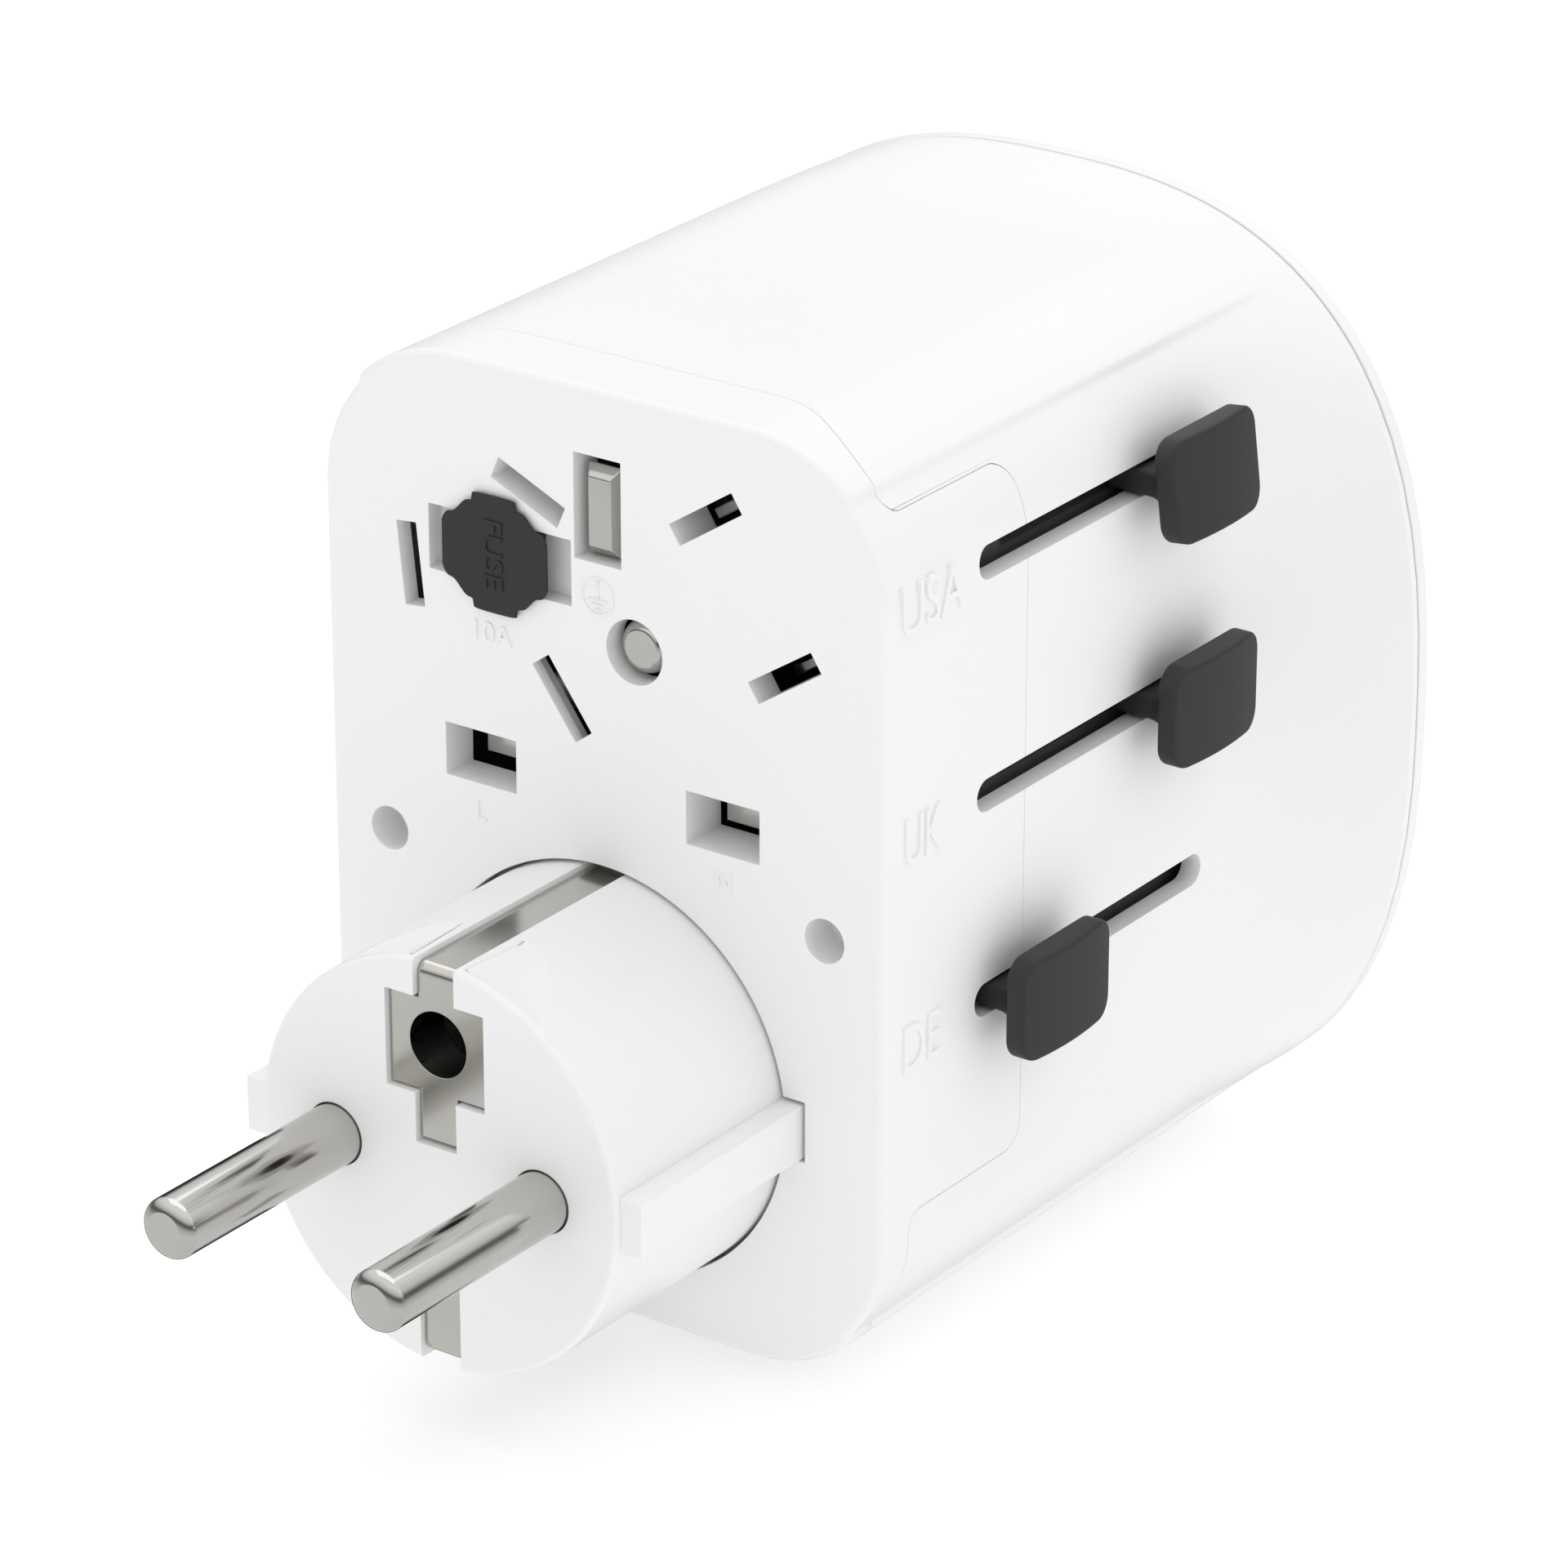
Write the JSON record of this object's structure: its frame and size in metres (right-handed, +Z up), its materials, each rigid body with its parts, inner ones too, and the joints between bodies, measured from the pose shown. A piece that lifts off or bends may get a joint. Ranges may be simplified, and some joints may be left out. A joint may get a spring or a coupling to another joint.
{
  "type": "universal travel adapter",
  "caption": "Pocket travel adapter: slide-out UK, US, Australian and Schuko plugs on one face, a universal socket at the rear, and side slider knobs.",
  "frame": {"origin": "on the flat plug face, midway between the UK line and neutral pins", "axes": "+Z up towards the UK earth pin, +Y into the body towards the rear socket, +X to the side with three slider knobs; the plugs slide out along -Y"},
  "size_m": [0.0688, 0.1012, 0.0779],
  "materials": {
    "white_plastic": "satin, very fine grain",
    "charcoal_grip": "matt, soft to the touch",
    "carrier_plastic": "matt",
    "black_plastic": "satin",
    "nickel": "polished nickel plate",
    "nickel_strip": "satin nickel plate",
    "brass": "stamped",
    "steel": "zinc plated",
    "ceramic": "glazed"
  },
  "bodies": {
    "housing": {"front_cover": "white_plastic", "main_shell": "white_plastic", "rear_plate": "white_plastic", "socket_face": "white_plastic", "guide_frame": "black_plastic", "frame_screw_1": "steel", "frame_screw_2": "steel", "frame_screw_3": "steel", "frame_screw_4": "steel", "fixed_rack": "black_plastic", "fuse_tube": "black_plastic", "fuse_terminal": "brass", "line_busbar": "brass", "neutral_busbar": "brass", "earth_busbar": "brass", "line_contact": "brass", "neutral_contact": "brass", "earth_contact": "brass", "shutter_spring": "steel"},
    "uk_plug": {"uk_carrier": "carrier_plastic", "uk_knob": "charcoal_grip", "uk_line_pin": "nickel", "uk_neutral_pin": "nickel", "uk_earth_pin": "nickel"},
    "usa_plug": {"usa_carrier": "carrier_plastic", "usa_knob": "charcoal_grip", "usa_line_blade": "nickel", "usa_neutral_blade": "nickel", "usa_ground_pin": "nickel"},
    "aus_plug": {"aus_carrier": "carrier_plastic", "aus_knob": "charcoal_grip", "aus_line_blade": "nickel", "aus_neutral_blade": "nickel", "aus_earth_blade": "nickel"},
    "schuko_plug": {"schuko_block": "white_plastic", "de_knob": "charcoal_grip", "pinion_axle": "steel", "schuko_earth_strip_top": "nickel_strip", "schuko_earth_strip_bottom": "nickel_strip"},
    "schuko_pins": {"pin_carriage": "carrier_plastic", "schuko_pin_left": "nickel", "schuko_pin_right": "nickel"},
    "pinion": {"pinion": "black_plastic"},
    "fuse": {"fuse_cap": "charcoal_grip", "fuse_cartridge": "ceramic", "fuse_end_front": "nickel", "fuse_end_rear": "nickel"},
    "shutter": {"shutter": "black_plastic"}
  },
  "joints": [
    {"name": "uk_slide", "type": "slide", "parent": "housing", "child": "uk_plug", "axis": [0, -1, 0], "range_m": [0, 0.02]},
    {"name": "usa_slide", "type": "slide", "parent": "housing", "child": "usa_plug", "axis": [0, -1, 0], "range_m": [0, 0.0192]},
    {"name": "aus_slide", "type": "slide", "parent": "housing", "child": "aus_plug", "axis": [0, -1, 0], "range_m": [0, 0.02]},
    {"name": "schuko_slide", "type": "slide", "parent": "housing", "child": "schuko_plug", "axis": [0, 1, 0], "range_m": [0, 0.0202]},
    {"name": "schuko_pin_slide", "type": "slide", "parent": "schuko_plug", "child": "schuko_pins", "axis": [0, 1, 0], "range_m": [0, 0.0202]},
    {"name": "pinion_spin", "type": "hinge", "parent": "schuko_plug", "child": "pinion", "pos_m": [0, 0.0074, -0.031], "axis": [-1, 0, 0], "range_deg": [0, 387]},
    {"name": "fuse_slide", "type": "slide", "parent": "housing", "child": "fuse", "axis": [0, -1, 0], "range_m": [0, 0.026]},
    {"name": "shutter_slide", "type": "slide", "parent": "housing", "child": "shutter", "axis": [0, 0, -1], "range_m": [0, 0.0076], "stiffness_N_per_m": 150, "deforming": ["shutter_spring"]}
  ],
  "couplings": [
    {"joint": "schuko_pin_slide", "follows": "schuko_slide", "ratio": 1},
    {"joint": "pinion_spin", "follows": "schuko_slide", "rad_per_m": 333.33}
  ]
}
